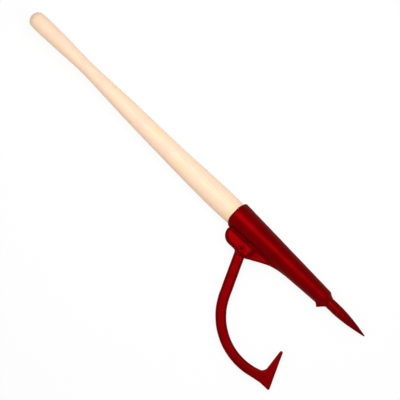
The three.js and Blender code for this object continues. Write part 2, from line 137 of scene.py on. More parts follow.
class SocketSizes(bpy.types.PropertyGroup):
    length: length("Length", "From the mouth to the end of the collar", 0.315)
    mouth_diameter: length("Mouth diameter", "Outside of the cone at the mouth", 0.0724)
    nose_diameter: length("Nose diameter", "Outside of the cone at the nose", 0.0434)
    nose_length: length("Nose length", "From the cone to the end of the collar", 0.016)
    mouth_rounding: length("Mouth rounding", "Length of the rounded rim", 0.0075)
    mouth_scallop: length("Mouth scallop", "How far the rim draws back on its sides", 0.009)
    scallop_lean: amount("Scallop lean", "Share added to that on the hook's side", 0.35)
    nose_lean: turn("Nose lean", "Slope of the rounded nose", math.radians(50))
    collar_diameter: length("Collar diameter", "Iron round the pick", 0.0298)
    collar_edge: length("Collar edge", "Rounding of the rim round the pick", 0.0005)
    ears_start: length("Ears start", "From the mouth to the ears", 0.0162)
    ears_end: length("Ears end", "From the mouth to their far end", 0.1)
    ears_reach: length("Ears reach", "From the axis to their edge", 0.064)
    ears_root: length("Ears root", "From the axis to where they turn in", 0.024)
    ears_width: length("Ears width", "Over both ears", 0.044)
    ears_edge: length("Ears edge", "Rounding of their edges", 0.0095)
    ears_corner: length("Ears corner", "Rounding of the outer corner by the mouth", 0.027)
    ears_end_corner: length("Ears end corner", "Rounding of the corner by the web", 0.012)
    ears_root_edge: length("Ears root edge", "Rounding towards the cone", 0.016)
    ears_crown: length("Ears crown", "How much their faces fall off", 0.0022)
    slot_width: length("Slot width", "Between the two ears", 0.0207)
    slot_end: length("Slot end", "From the mouth to its end at the web", 0.111)
    slot_room: length("Slot depth", "From the bolt to its floor", 0.0179)
    web_end: length("Web end", "From the mouth to its end", 0.186)
    web_width: length("Web width", "Where it leaves the ears", 0.0345)
    web_end_width: length("Web end width", "Where it runs out on the cone", 0.012)
    web_edge: length("Web edge", "Rounding of its edges", 0.0048)
    web_hollow: amount("Web hollow", "Share by which it is thinner behind its edge", 0.22)
    fillet: length("Fillet", "Hollow between joined forms of the casting", 0.005)
    valley: length("Valley", "Hollow between the ears and the cone", 0.0018)
    lip_inset: length("Lip inset", "From the socket's end to the toe lip's tip", 0.0145)
    lip_reach: length("Lip reach", "From the axis to its tip", 0.0292)
    lip_root: length("Lip root", "From the axis to the start of its back", 0.0212)
    lip_back: length("Lip back", "From there to the tip", 0.0095)
    lip_front: length("Lip front", "From the tip to the collar", 0.0125)
    lip_width: length("Lip width", "Across the socket", 0.024)
    lip_taper: amount("Lip taper", "Share by which it narrows to its tip", 0.5)
    head_pocket: length("Head pocket", "Diameter of the hole for the bolt's head", 0.0171)
    head_floor: length("Head floor", "Depth of that hole", 0.0066)
    nut_pocket: length("Nut pocket", "Diameter of the round hollow for the nut", 0.028)
    nut_floor: length("Nut floor", "Depth of that hollow", 0.006)
    pin_along: length("Pin place", "From the mouth to the pin", 0.044)
    pin_diameter: length("Pin diameter", "Pin through the wall into the wood", 0.006)
    cell: length("Mesh cell", "Spacing of the points on the casting", 0.0013)


class HookSizes(bpy.types.PropertyGroup):
    thickness: length("Thickness", "Bar of the hook, along the bolt", 0.019)
    width: length("Width", "Bar of the hook, across the shank", 0.0257)
    swell: length("Swell", "How far the bar stands out on its inner side", 0.0018)
    edge: length("Edge", "Rounding of the bar's edges", 0.0082)
    bill_edge: length("Bill edge", "Rounding of the bill's edges", 0.0035)
    eye_diameter: length("Eye diameter", "Outside of the eye", 0.033)
    eye_thickness: length("Eye thickness", "Eye, along the bolt", 0.02)
    belly_reach: length("Belly reach", "From the bolt to the outside of the bend", 0.282)
    belly_radius: length("Belly radius", "Outside of the bend", 0.167)
    throat_reach: length("Throat reach", "From the bolt to the inside of the bend", 0.257)
    throat_radius: length("Throat radius", "Inside of the bend", 0.139)
    bill_offset: length("Bill offset", "From the back of the shank to the face of the bill", 0.193)
    bill_length: length("Bill length", "From the heel to the point", 0.1)
    bill_root: length("Bill root", "Bill where it meets the bend", 0.0256)
    bill_point: length("Bill point", "Bill at its point", 0.0066)
    point_thickness: length("Point thickness", "Point of the bill, along the bolt", 0.0172)
    heel_flare: length("Heel flare", "How far the heel stands out past the bend", 0.015)
    heel_run: length("Heel run", "Length over which the heel stands out", 0.036)
    heel_rounding: length("Heel rounding", "Corner of the heel", 0.005)
    throat_corner: length("Throat corner", "Hollow between the bend and the bill", 0.0105)
    cell: length("Mesh cell", "Spacing of the points on the forging", 0.0011)


class PickSizes(bpy.types.PropertyGroup):
    length: length("Length", "From the shoulder on the wood to the point", 0.1948)
    diameter: length("Diameter", "Round part of the pick", 0.0268)
    point_length: length("Point length", "Tapered end", 0.088)
    point_diameter: length("Point diameter", "Blunt tip", 0.0032)
    tang_length: length("Tang length", "Square part inside the wood", 0.11)
    tang_width: length("Tang width", "Square part at the shoulder", 0.014)
    tang_end_width: length("Tang end width", "Square part at its end", 0.008)
    flats_start: length("Flats start", "From the point to where its faint flats start", 0.11)
    flats_end: length("Flats end", "From the point to where they are full", 0.03)
    flats_depth: amount("Flats depth", "Share of the radius", 0.012)
    sides: count("Sides", "Points round the pick", 64)


class FastenerSizes(bpy.types.PropertyGroup):
    head_diameter: length("Bolt head", "Round end of the hook bolt", 0.017)
    head_height: length("Bolt head height", "Round end along the bolt", 0.005)
    key_width: length("Key width", "Six-sided hole in the head, across its flats", 0.0078)
    key_depth: length("Key depth", "Depth of that hole", 0.006)
    nut_width: length("Nut width", "Across the flats", 0.019)
    nut_height: length("Nut height", "Nut along the bolt", 0.008)
    washer_diameter: length("Washer diameter", "Lock washer outside", 0.0215)
    washer_height: length("Washer height", "Lock washer along the bolt", 0.0028)
    washer_split: length("Washer split", "Gap of the lock washer", 0.0024)
    thread_pitch: length("Thread pitch", "From thread to thread", 0.00195)
    thread_depth: length("Thread depth", "Height of the thread", 0.0006)
    projection: length("Projection", "Bolt past the nut", 0.0012)
    pin_length: length("Pin length", "Pin through the wall into the wood", 0.034)
    pin_sunk: length("Pin sunk", "Below the outside of the cone", 0.0008)
    sides: count("Sides", "Points round each fastener", 72)


class Finishes(bpy.types.PropertyGroup):
    enamel: colour("Enamel", "Red enamel on the iron", (0.165, 0.0003, 0.001, 1))
    enamel_deep: colour("Deep enamel", "Where the enamel lies thick", (0.105, 0.0001, 0.0005, 1))
    wood: colour("Wood", "Pale wood between the growth lines", (0.9, 0.672, 0.49, 1))
    wood_line: colour("Growth line", "Late wood", (0.85, 0.54, 0.31, 1))
    wood_pink: colour("Rosy patches", "Broad rosy patches", (0.94, 0.605, 0.475, 1))
    wood_sallow: colour("Sallow patches", "Broad sallow patches", (0.85, 0.655, 0.385, 1))
    enamel_shine: colour("Enamel shine", "Tint of the enamel's highlights", (0.5, 0.02, 0.03, 1))
    steel: colour("Steel", "Bare dark fasteners", (0.09, 0.085, 0.08, 1))
    floor: colour("Floor", "Studio floor", (0.92, 0.92, 0.92, 1))


class StudioSettings(bpy.types.PropertyGroup):
    aim_along: length("Aim along", "What the camera looks at, along the socket", -0.0785)
    aim_across: length("Aim across", "What the camera looks at, across the socket", -0.0349)
    picture_turn: turn("Picture turn", "The tool's slope across the picture", math.radians(43.55))
    picture_width: length("Picture width", "Width of the view at the tool", 0.96)
    lens: amount("Lens", "Focal length in millimetres", 200)
    floor_size: length("Floor size", "Side of the floor", 40)
    key_power: amount("Key light", "Watts of the long soft light", 13.8)
    fill_power: amount("Fill light", "Watts of the broad soft light", 1.2)
    sky_level: amount("Sky", "Level of the room's light", 0.48)


class CantHookSettings(bpy.types.PropertyGroup):
    pivot: bpy.props.PointerProperty(type=PivotSizes)
    handle: bpy.props.PointerProperty(type=HandleSizes)
    socket: bpy.props.PointerProperty(type=SocketSizes)
    hook: bpy.props.PointerProperty(type=HookSizes)
    pick: bpy.props.PointerProperty(type=PickSizes)
    fasteners: bpy.props.PointerProperty(type=FastenerSizes)
    finishes: bpy.props.PointerProperty(type=Finishes)
    studio: bpy.props.PointerProperty(type=StudioSettings)


# Places worked out from the frame


def tool_matrix(pivot):
    """The tool's own frame, from the hinge: Z on the bolt, and X square to the row's Y."""
    bolt = Vector(HINGE["axis"]).normalized()
    along = Vector((0, 1, 0)).cross(bolt).normalized()
    across = bolt.cross(along)
    place = Vector(HINGE["pos_m"]) - along * pivot.along + across * pivot.across
    matrix = Matrix((along, across, bolt)).transposed().to_4x4()
    matrix.translation = place
    return matrix


def hook_matrix(pivot):
    """The hook's frame: the pivot at its origin and X along the shank."""
    shift = Matrix.Translation((pivot.along, -pivot.across, 0))
    return tool_matrix(pivot) @ shift @ Matrix.Rotation(pivot.shank_turn, 4, "Z")


# Meshes


def ring_faces(rings, points, closed=False):
    """Quads between rings of points, with a cap on each end unless the rings close up."""
    faces = []
    for ring in range(rings if closed else rings - 1):
        here, there = ring * points, (ring + 1) % rings * points
        for i in range(points):
            j = (i + 1) % points
            faces.append((here + i, here + j, there + j, there + i))
    if not closed:
        faces.append(tuple(range(points - 1, -1, -1)))
        faces.append(tuple((rings - 1) * points + i for i in range(points)))
    return faces


def ring_mesh(x, y, z, closed=False):
    """Points and faces of rings, from coordinates with a row for each ring."""
    points = np.stack(np.broadcast_arrays(x, y, z), -1)
    rings, sides = points.shape[:2]
    return points.reshape(-1, 3), ring_faces(rings, sides, closed)


def circle(sides):
    return np.arange(sides) * 2 * math.pi / sides


def square_reach(theta):
    """How far a square reaches each way, next to the circle inside it."""
    return 1 / np.maximum(abs(np.cos(theta)), abs(np.sin(theta)))


def six_sided(theta, half):
    """How far a hexagon reaches each way, from half its width across the flats."""
    return half / np.cos((theta % (math.pi / 3)) - math.pi / 6)


def curve(share, first, middle, last):
    """A curve from the first value to the last that leans towards the middle one."""
    return (1 - share) ** 2 * first + 2 * share * (1 - share) * middle + share**2 * last


def through(points, steps):
    """Points on a smooth line through the given ones, with as many steps to each stretch."""
    p = np.array([points[0], *points, points[-1]], float)
    t = np.linspace(0, 1, steps, endpoint=False)[:, None]
    line = []
    for a, b, c, d in zip(p, p[1:], p[2:], p[3:]):
        bend = 2 * a - 5 * b + 4 * c - d
        twist = 3 * b - a - 3 * c + d
        line.append(b + (c - a) * t / 2 + bend * t**2 / 2 + twist * t**3 / 2)
    return np.vstack([*line, p[-1:]])


def smooth_step(value, low, high):
    share = np.clip((value - low) / (high - low), 0, 1)
    return share * share * (3 - 2 * share)


def unevenness(x, y, z, wave):
    """Slow ups and downs of a worked surface, between -1 and 1."""
    k = 2 * math.pi / wave
    first = np.sin(k * (x + 0.6 * y - 0.3 * z) + 1.3) * np.sin(k * (0.5 * x - y + 0.4 * z) + 0.4)
    second = np.sin(1.7 * k * (0.8 * x + 0.5 * y + z) + 2.1) * np.sin(1.9 * k * (y - 0.7 * z) + 0.9)
    return 0.65 * first + 0.35 * second


# Solid forms as distances: below zero inside, zero on the surface


def join(a, b, fillet):
    """Two forms as one, with a hollow fillet between them."""
    meet = np.hypot(np.maximum(fillet - a, 0), np.maximum(fillet - b, 0))
    return np.maximum(fillet, np.minimum(a, b)) - meet


def overlap(a, b, rounding):
    """What two forms share, with a rounded edge where they cross."""
    meet = np.hypot(np.maximum(rounding + a, 0), np.maximum(rounding + b, 0))
    return np.minimum(-rounding, np.maximum(a, b)) + meet


def cut(a, b, rounding):
    """The first form without the second, with a rounded edge."""
    return overlap(a, -b, rounding)


def side_of(x, y, start, end):
    """Distance from the line through two points, below zero on its left."""
    along = np.subtract(end, start)
    along = along / np.hypot(*along)
    return (x - start[0]) * along[1] - (y - start[1]) * along[0]


def steps_across(low, high, cell, fine=None):
    """Even steps from below to past a form, and half steps across a part that needs them."""
    low, high = low - 2 * cell, high + 2 * cell
    stops = [(low, high, cell)] if fine is None else [
        (low, fine[0], cell), (*fine, cell / 2), (fine[1], high, cell),
    ]
    runs = [
        np.linspace(a, b, max(2, math.ceil((b - a) / size) + 1))[:-1] for a, b, size in stops
    ]
    return np.concatenate([*runs, [high]])


def surface_points(form, axes):
    """Points and quads round everything where the form is below zero, on a grid of steps."""
    inside = form(*np.meshgrid(*axes, indexing="ij")) < 0
    steps = inside.shape
    corners = sum(
        inside[i:steps[0] - 1 + i, j:steps[1] - 1 + j, k:steps[2] - 1 + k].astype(np.int8)
        for i in (0, 1) for j in (0, 1) for k in (0, 1)
    )
    crossed = (corners > 0) & (corners < 8)
    number = np.full(crossed.shape, -1)
    number[crossed] = np.arange(crossed.sum())
    middles = [(axis[1:] + axis[:-1]) / 2 for axis in axes]
    points = np.stack([
        middle[place] for middle, place in zip(middles, np.nonzero(crossed))
    ], 1)
    quads = []
    for axis in range(3):
        first = np.moveaxis(inside, axis, 0)
        cells = np.moveaxis(number, axis, 0)
        edge = first[:-1, 1:-1, 1:-1].astype(np.int8) - first[1:, 1:-1, 1:-1]
        for way in (1, -1):
            a, b, c = np.nonzero(edge == way)
            quad = np.stack([
                cells[a, b, c], cells[a, b + 1, c], cells[a, b + 1, c + 1], cells[a, b, c + 1],
            ], 1)
            quads.append(quad if way == (1 if axis != 1 else -1) else quad[:, ::-1])
    return points, np.vstack(quads)


def pulled_on(form, points, quads, cell, rounds=4):
    """The points evened out and drawn onto the surface of the form."""
    pairs = np.vstack([quads[:, [i, (i + 1) % 4]] for i in range(4)])
    ends = np.concatenate([pairs[:, 0], pairs[:, 1]])
    others = np.concatenate([pairs[:, 1], pairs[:, 0]])
    share = np.bincount(ends, minlength=len(points))[:, None]
    probe = cell / 25
    for turn_number in range(2 * rounds):
        x, y, z = points.T
        value = form(x, y, z)
        slope = np.stack([
            form(x + probe, y, z) - form(x - probe, y, z),
            form(x, y + probe, z) - form(x, y - probe, z),
            form(x, y, z + probe) - form(x, y, z - probe),
        ], 1) / (2 * probe)
        steep = np.maximum((slope**2).sum(1), 0.05)
        step = np.clip(value / steep, -cell, cell)[:, None] * slope
        points = points - step
        if turn_number < rounds:
            middle = np.stack([
                np.bincount(ends, points[others, i], len(points)) for i in range(3)
            ], 1) / share
            normal = slope / np.sqrt(steep)[:, None]
            drift = middle - points
            points = points + 0.6 * (drift - (drift * normal).sum(1)[:, None] * normal)
    return points


def skinned(form, axes, cell):
    """The surface of a form, as points and quads."""
    points, quads = surface_points(form, axes)
    return pulled_on(form, points, quads, cell), quads


# Shader sums


def both_ways(operation):
    """A Math node as an operator between values, and as its reflected form."""
    def straight(self, other):
        return self.maths(operation, self, other)

    def reflected(self, other):
        return self.maths(operation, other, self)

    return straight, reflected


class Value:
    """A shader socket that stands in a Python sum: each operator adds its Math node."""

    def __init__(self, finish, socket):
        self.finish = finish
        self.socket = socket

    def maths(self, operation, *terms):
        inputs = dict(enumerate(terms))
        return self.finish.node("ShaderNodeMath", {"operation": operation}, inputs)

    __add__, __radd__ = both_ways("ADD")
    __sub__, __rsub__ = both_ways("SUBTRACT")
    __mul__, __rmul__ = both_ways("MULTIPLY")
    __truediv__, __rtruediv__ = both_ways("DIVIDE")
    __pow__, __rpow__ = both_ways("POWER")

    def other(self, output):
        """Another output of the same node."""
        return Value(self.finish, self.socket.node.outputs[output])

    def clamped(self):
        self.socket.node.use_clamp = True
        return self


class Finish:
    """The nodes of a material, or of the world."""

    def __init__(self, owner):
        self.owner = owner
        self.owner.use_nodes = True
        self.tree = self.owner.node_tree
        self.tree.nodes.clear()

    def node(self, kind, settings=None, inputs=None, output=0):
        """Adds a node, makes its settings, fills its sockets and gives back one of its outputs."""
        node = self.tree.nodes.new(kind)
        for key, setting in (settings or {}).items():
            if key == "stops":
                self.set_stops(node.color_ramp, setting)
            else:
                setattr(node, key, setting)
        for key, given in (inputs or {}).items():
            if isinstance(given, Value):
                self.tree.links.new(given.socket, node.inputs[key])
            else:
                node.inputs[key].default_value = given
        return Value(self, node.outputs[output]) if node.outputs else None

    @staticmethod
    def set_stops(ramp, stops):
        while len(ramp.elements) < len(stops):
            ramp.elements.new(0.5)
        for element, (place, level) in zip(ramp.elements, stops):
            element.position = place
            element.color = (level, level, level, 1)

    def place(self):
        """The piece's own coordinates, in metres."""
        return self.node("ShaderNodeAttribute", {"attribute_name": OWN_PLACE}, output="Vector")

    def noise(self, place, scale, detail, roughness):
        """Soft noise, with one scale or with one for each axis."""
        if isinstance(scale, tuple):
            inputs = {0: place, 1: scale}
            place = self.node("ShaderNodeVectorMath", {"operation": "MULTIPLY"}, inputs)
            scale = 1
        inputs = {"Vector": place, "Scale": scale, "Detail": detail, "Roughness": roughness}
        return self.node("ShaderNodeTexNoise", None, inputs)

    def ramp(self, factor, stops):
        return self.node("ShaderNodeValToRGB", {"stops": stops}, {0: factor})

    def mix(self, share, a, b):
        inputs = {0: share, 6: a, 7: b}
        return self.node("ShaderNodeMix", {"data_type": "RGBA"}, inputs, output=2)

    def bump(self, height, distance, strength):
        inputs = {"Height": height, "Distance": distance, "Strength": strength}
        return self.node("ShaderNodeBump", None, inputs)

    def ending(self, kind, share, first, second):
        """The output, fed by two shaders and the share of the second."""
        inputs = {0: share, 1: first, 2: second}
        self.node(kind, None, {0: self.node("ShaderNodeMixShader", None, inputs)})

    def surface(self, **inputs):
        """The shader and the material's output."""
        named = {key.replace("_", " "): given for key, given in inputs.items()}
        shader = self.node("ShaderNodeBsdfPrincipled", None, named)
        self.node("ShaderNodeOutputMaterial", None, {0: shader})
        return self.owner


def enamel_finish(name, colours):
    """Glossy red enamel, thicker in places, over iron that isn't quite smooth."""
    finish = Finish(bpy.data.materials.new(name))
    place = finish.place()
    broad = finish.noise(place, 22, 3, 0.55)
    cloud = finish.noise(place, 95, 2, 0.5)
    grain = finish.noise(place, 420, 2, 0.6)
    depth = ((broad - 0.5) * 1.3 + (cloud - 0.5) * 0.5 + 0.35).clamped()
    base = finish.mix(depth, tuple(colours.enamel), tuple(colours.enamel_deep))
    height = cloud * 0.75 + grain * 0.25
    return finish.surface(
        Base_Color=base, Roughness=0.35 + 0.1 * cloud, Metallic=0.62,
        Specular_Tint=tuple(colours.enamel_shine), Specular_IOR_Level=0.16,
        Normal=finish.bump(height, distance=0.0003, strength=0.3),
    )


def wood_finish(name, colours):
    """Pale turned hardwood with long growth lines, fine pores and broad warm patches."""
    finish = Finish(bpy.data.materials.new(name))
    place = finish.place()
    wander = finish.noise(place, (1.6, 14, 14), 2, 0.5)
    x = finish.node("ShaderNodeSeparateXYZ", None, {0: place})
    y, z = x.other(1), x.other(2)
    heart_across = 0.075
    heart_up = 0.02
    ring_width = 0.0042
    sideways = y + heart_across + x * 0.035 + (wander - 0.5) * 0.03
    upward = z + heart_up - x * 0.012 + (wander - 0.5) * 0.02
    rings = (sideways * sideways + upward * upward) ** 0.5 / ring_width
    ring = rings.maths("FRACT", rings)
    line = finish.ramp(ring, [(0, 0.1), (0.55, 0.0), (0.9, 1.0), (1, 0.35)])
    pores = finish.noise(place, (26, 1500, 1500), 2, 0.6)
    pore = finish.ramp(pores, [(0.0, 1.0), (0.36, 0.8), (0.46, 0.0)])
    fibre = finish.noise(place, (9, 420, 420), 3, 0.6)
    patches = finish.noise(place, (24, 48, 48), 3, 0.5)
    rosy = finish.ramp(patches, [(0.45, 0.0), (0.66, 1.0)])
    sallow = finish.ramp(patches, [(0.32, 1.0), (0.48, 0.0)])
    base = finish.mix(rosy * 0.75, tuple(colours.wood), tuple(colours.wood_pink))
    base = finish.mix(sallow * 0.9, base, tuple(colours.wood_sallow))
    grain = (line * 0.5 + pore * 0.3 + (fibre - 0.5) * 0.75).clamped()
    base = finish.mix(grain, base, tuple(colours.wood_line))
    height = fibre * 0.6 - pore * 0.4
    return finish.surface(
        Base_Color=base, Roughness=0.5 + 0.14 * fibre, Specular_IOR_Level=0.55,
        Normal=finish.bump(height, distance=0.0003, strength=0.35),
    )


def steel_finish(name, colours):
    """Dark fastener steel with a dull oil finish."""
    finish = Finish(bpy.data.materials.new(name))
    place = finish.place()
    cloud = finish.noise(place, 160, 3, 0.6)
    scratch = finish.noise(place, (900, 900, 90), 2, 0.5)
    steel = tuple(colours.steel)
    base = finish.mix(cloud * 0.6, steel, tuple(part * 0.5 for part in steel[:3]) + (1,))
    return finish.surface(
        Base_Color=base, Roughness=0.34 + 0.25 * scratch, Metallic=0.9,
        Normal=finish.bump(cloud, distance=0.0002, strength=0.3),
    )


# Forms of the pieces


def handle_rings(sizes, pick, fit, theta):
    """Rings of the wood from the butt to its hidden end, and into the hole for the tang."""
    waist = sizes.waist_diameter
    spans = [(along, sizes.grip_diameter, share) for along, share in GRIP_SHARES]
    spans += [(along, sizes.mouth_diameter, share) for along, share in BODY_SHARES]
    stations = [(sizes.butt_rounding, sizes.butt_diameter / 2)]
    stations += [
        (along * sizes.bare, (waist + share * (wide - waist)) / 2) for along, wide, share in spans
    ]
    side = through(stations, steps=36)
    dome = np.linspace(BUTT_LEAN, math.pi / 2, 14)[:-1]
    butt = np.stack([
        sizes.butt_rounding * (1 - BUTT_SHARE * np.cos(dome)), side[0, 1] * np.sin(dome),
    ], 1)
    bare = np.vstack([butt, side])
    end_radius = sizes.end_diameter / 2 - fit
    radius = np.concatenate([bare[:, 1], [end_radius, end_radius - fit]])
    hole = np.array([pick.tang_width, pick.tang_end_width])[:, None] / 2 + fit
    x = np.concatenate([
        bare[:, 0] - sizes.bare,
        [sizes.depth - 2 * fit, sizes.depth, sizes.depth, sizes.depth - pick.tang_length],
    ])
    return x, np.vstack([radius[:, None] * np.ones_like(theta), hole * square_reach(theta)])


def handle_mesh(settings):
    """The turned wood, a little out of round, with its bow and its neck at the mouth."""
    sizes = settings.handle
    theta = circle(sizes.sides)
    x, radius = handle_rings(sizes, settings.pick, settings.pivot.fit, theta)
    x = x[:, None]
    bow = sizes.bow * smooth_step(-x / sizes.bare, *BOW_SHARES)
    radius[:-2] -= sizes.neck * smooth_step(x[:-2], -sizes.neck_run, 0)
    radius = radius * (1 - WOBBLE_SHARE * (1 + np.sin(theta * 2 + WOBBLE_TURN * x)))
    return ring_mesh(x, radius * np.cos(theta) + bow, radius * np.sin(theta))


def cone_slope(sizes):
    """How fast the outside of the casting draws in towards the nose."""
    cone_end = sizes.length - sizes.nose_length
    return (sizes.mouth_diameter - sizes.nose_diameter) / 2 / cone_end


def socket_form(settings):
    """The casting: cone, nose, ears, web and toe lip in one, with its hollows."""
    sizes, pivot, handle = settings.socket, settings.pivot, settings.handle
    slope = cone_slope(sizes)
    mouth = sizes.mouth_diameter / 2
    wood = handle.mouth_diameter / 2 - handle.neck + pivot.fit
    rim = mouth - wood
    taper = (handle.mouth_diameter - handle.end_diameter) / 2 / handle.depth
    collar = sizes.collar_diameter / 2
    nose_middle = sizes.length - sizes.nose_length * 0.53
    nose_radius = (collar + sizes.nose_diameter / 2) / 2
    nose_rounding = sizes.nose_length * 0.22
    nose_hollow = sizes.nose_length * 0.28
    rim_rounding = rim * 0.96
    ear = sizes.ears_width / 2
    ears_middle = 0.86 * sizes.ears_reach
    ears_fall = 0.42 * sizes.ears_reach
    web_start = sizes.ears_end - 2 * sizes.ears_edge
    web_low = sizes.ears_end - sizes.web_edge
    web_run = sizes.web_end - web_low
    web_heights = (
        -sizes.ears_reach - sizes.web_edge / 6,
        -(mouth - slope * sizes.ears_end) - sizes.web_edge * 0.9,
        -(mouth - slope * sizes.web_end) + sizes.web_edge * 0.8,
    )
    web_fillet = sizes.fillet * 1.4
    lip_edge = sizes.lip_width / 15
    lip_tip_edge = sizes.lip_width / 20
    lip_tip = (sizes.length - sizes.lip_inset, -sizes.lip_reach)
    lip_back = (lip_tip[0] - sizes.lip_back, -sizes.lip_root)
    lip_front = (lip_tip[0] + sizes.lip_front, -collar)

    def cone(x, y, radius):
        flat = (radius - mouth + slope * x) / math.hypot(1, slope)
        sideways = y / np.maximum(radius, collar)
        drawn_back = sizes.mouth_scallop * sideways**4 * (1 - sizes.scallop_lean * sideways)
        body = overlap(flat, (drawn_back - x) * rim / sizes.mouth_rounding, rim_rounding)
        lean = sizes.nose_lean
        nose = (x - nose_middle) * math.sin(lean) + (radius - nose_radius) * math.cos(lean)
        body = overlap(body, nose, nose_rounding)
        return join(body, radius - collar, nose_hollow)

    def ears(x, y, z):
        start, end = sizes.ears_start - x, x - sizes.ears_end
        outer, root = -sizes.ears_reach - y, y + sizes.ears_root
        outline = overlap(start, outer, sizes.ears_corner)
        outline = np.maximum(outline, overlap(end, outer, sizes.ears_end_corner))
        face = abs(z) - ear + sizes.ears_crown * ((y + ears_middle) / ears_fall) ** 2
        plate = overlap(outline, face, sizes.ears_edge)
        return overlap(plate, root, sizes.ears_root_edge)

    def web(x, y, z):
        share = np.clip((x - web_low) / web_run, 0, 1)
        first, middle, last = web_heights
        rise = 2 * ((1 - share) * (middle - first) + share * (last - middle)) / web_run
        height = (curve(share, *web_heights) - y) / np.hypot(1, rise)
        under = overlap(height, -sizes.ears_reach - y, 2 * sizes.web_edge)
        outline = np.maximum(under, np.maximum(web_start - x, x - sizes.web_end))
        outline = np.maximum(outline, y)
        half = (sizes.web_width + (sizes.web_end_width - sizes.web_width) * share) / 2
        behind = smooth_step(-under, sizes.web_edge, 4 * sizes.web_edge)
        half = half * (1 - sizes.web_hollow * behind)
        return overlap(outline, abs(z) - half, sizes.web_edge)

    def lip(x, y, z):
        back = side_of(x, y, lip_back, lip_tip)
        front = side_of(x, y, lip_tip, lip_front)
        outline = np.maximum(overlap(back, front, lip_tip_edge), y)
        outward = np.clip((-y - collar) / (sizes.lip_reach - collar), 0, 1)
        half = sizes.lip_width / 2 * (1 - sizes.lip_taper * outward)
        return overlap(outline, abs(z) - half, lip_edge)

    def slot(x, y, z):
        floor = -pivot.across + sizes.slot_room
        corner = pivot.along + sizes.slot_room
        slant = side_of(x, y, (sizes.slot_end, -pivot.across), (corner, floor))
        outline = np.maximum(np.maximum(y - floor, x - sizes.slot_end), slant)
        return np.maximum(outline, abs(z) - sizes.slot_width / 2)

    def hollows(x, y, z, radius):
        reach = np.hypot(x - pivot.along, y + pivot.across)
        across_pin = np.hypot(x - sizes.pin_along, z)
        return {
            "slot": slot(x, y, z),
            "head": np.maximum(reach - sizes.head_pocket / 2, ear - sizes.head_floor - z),
            "nut": np.maximum(reach - sizes.nut_pocket / 2, z + ear - sizes.nut_floor),
            "pin": np.maximum(across_pin - sizes.pin_diameter / 2 - pivot.fit, -y),
            "bore": np.maximum(radius - wood + taper * x, x - handle.depth - pivot.fit),
            "bolt": reach - pivot.bolt_diameter / 2 - pivot.fit,
            "shaft": radius - settings.pick.diameter / 2 - pivot.fit,
        }

    def form(x, y, z):
        height, wave = CAST_WAVES
        radius = np.hypot(y, z)
        iron = join(cone(x, y, radius), ears(x, y, z), sizes.valley)
        iron = join(iron, web(x, y, z), web_fillet)
        iron = np.maximum(iron, -sizes.ears_reach - y)
        iron = join(iron, lip(x, y, z), sizes.fillet / 2)
        iron = overlap(iron, x - sizes.length, sizes.collar_edge)
        iron = iron + height * (1 + unevenness(x, y, z, wave))
        hollow = hollows(x, y, z, radius)
        for name, share in RIM_SHARES.items():
            iron = cut(iron, hollow[name], share * sizes.fillet)
        return cut(np.maximum(iron, -hollow["bolt"]), hollow["shaft"], sizes.collar_edge)

    return form


def socket_mesh(settings):
    """The casting's surface, from finer steps round the collar and at its end."""
    sizes = settings.socket
    cell = sizes.cell
    half = sizes.mouth_diameter / 2
    thin = sizes.collar_diameter / 2 + cell
    around = (-thin, thin)
    end = (sizes.length - 0.9 * sizes.nose_length, sizes.length + cell)
    axes = (
        steps_across(0, sizes.length, cell, end),
        steps_across(-sizes.ears_reach, half, cell, around),
        steps_across(-half, half, cell, around),
    )
    return skinned(socket_form(settings), axes, cell)


def hook_form(settings):
    """The forging: eye, shank, bend and bill in one."""
    sizes, pivot = settings.hook, settings.pivot
    half = sizes.width / 2
    face = sizes.bill_offset - half
    heel = sizes.belly_reach + sizes.heel_flare
    heel_start = (sizes.belly_reach, face - sizes.heel_run)
    tip = heel - sizes.bill_length
    bill_tip = (tip, face - sizes.bill_point)
    bill_root = (sizes.throat_reach, face - sizes.bill_root)
    bill_start = face - 2.6 * sizes.bill_root
    point = sizes.bill_point * 0.4
    eye_edge = sizes.eye_thickness / 20
    eye_fillet = sizes.eye_thickness * 0.075
    hole_edge = sizes.eye_thickness * 0.03

    def bend(x, y, reach, radius, edge):
        """Distance from a line that runs along the shank and then round the bend."""
        start = reach - radius
        middle = edge + radius
        return np.where(x < start, edge - y, np.hypot(x - start, y - middle) - radius)

    def form(x, y, z):
        height, wave = FORGED_WAVES
        belly = bend(x, y, sizes.belly_reach, sizes.belly_radius, -half)
        back = side_of(x, y, heel_start, (heel, face))
        outer = join(belly, np.maximum(back, sizes.belly_radius / 2 - y), sizes.heel_rounding)
        outer = overlap(outer, y - face, sizes.heel_rounding)
        throat = -bend(x, y, sizes.throat_reach, sizes.throat_radius, half + sizes.swell)
        bill = overlap(side_of(x, y, bill_tip, bill_root), tip - x, point)
        inner = join(throat, bill, sizes.throat_corner)
        outline = np.maximum(overlap(outer, inner, point), -x)
        to_point = np.clip((sizes.throat_reach - x) / (sizes.throat_reach - tip), 0, 1)
        in_bill = smooth_step(y, bill_start, face - sizes.bill_root)
        thin = 1 - (1 - sizes.point_thickness / sizes.thickness) * to_point * in_bill
        edge = sizes.edge + (sizes.bill_edge - sizes.edge) * in_bill
        bar = overlap(outline, abs(z) - sizes.thickness / 2 * thin, edge)
        bar = bar + height * (1 + unevenness(x, y, z, wave))
        reach = np.hypot(x, y)
        sides = abs(z) - sizes.eye_thickness / 2
        eye = overlap(reach - sizes.eye_diameter / 2, sides, eye_edge)
        hole = reach - pivot.bolt_diameter / 2 - pivot.fit
        return cut(join(bar, eye, eye_fillet), hole, hole_edge)

    return form


